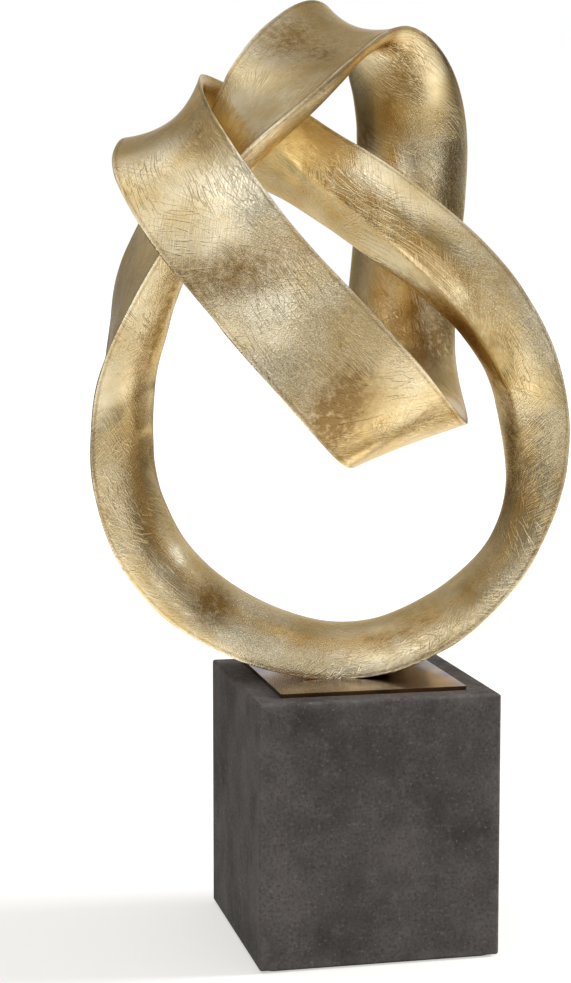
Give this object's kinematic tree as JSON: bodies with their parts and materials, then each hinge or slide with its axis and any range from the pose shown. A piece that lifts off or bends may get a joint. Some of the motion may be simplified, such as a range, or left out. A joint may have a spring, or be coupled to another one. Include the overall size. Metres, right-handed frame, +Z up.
{
  "type": "knot sculpture",
  "caption": "Table sculpture: a broad gold band tied in a loose knot, standing on a thin gold plate on a dark square plinth.",
  "frame": {"origin": "centre of the underside of the pad that the plinth stands on", "axes": "+Z up; +X to the right and -Y towards the viewer, square to the plinth's sides"},
  "size_m": [0.2405, 0.1725, 0.4716],
  "materials": {
    "gold_band": "satin",
    "tenon_bar": "satin",
    "insert_brass": "satin",
    "fastener_steel": "satin",
    "gold_plate": "satin",
    "dark_stone": "matte",
    "rubber_pad": "matte"
  },
  "bodies": {
    "root": {"foot_section": "gold_band", "right_limb": "gold_band", "arm_section": "gold_band", "hook_section": "gold_band", "front_ribbon": "gold_band", "lower_fold": "gold_band", "riser_section": "gold_band", "crown_section": "gold_band", "crossing_section": "gold_band", "left_limb": "gold_band", "tenon_left_to_foot": "tenon_bar", "tenon_foot_to_right": "tenon_bar", "tenon_right_to_arm": "tenon_bar", "tenon_arm_to_hook": "tenon_bar", "tenon_hook_to_front": "tenon_bar", "tenon_front_to_lower": "tenon_bar", "tenon_lower_to_riser": "tenon_bar", "tenon_riser_to_crown": "tenon_bar", "tenon_crown_to_crossing": "tenon_bar", "tenon_crossing_to_left": "tenon_bar", "threaded_insert": "insert_brass", "anchor_stud": "fastener_steel", "clamp_washer": "fastener_steel", "spring_washer": "fastener_steel", "clamp_nut": "fastener_steel", "cap_plate": "gold_plate", "plinth_block": "dark_stone", "base_pad": "rubber_pad"}
  },
  "joints": []
}
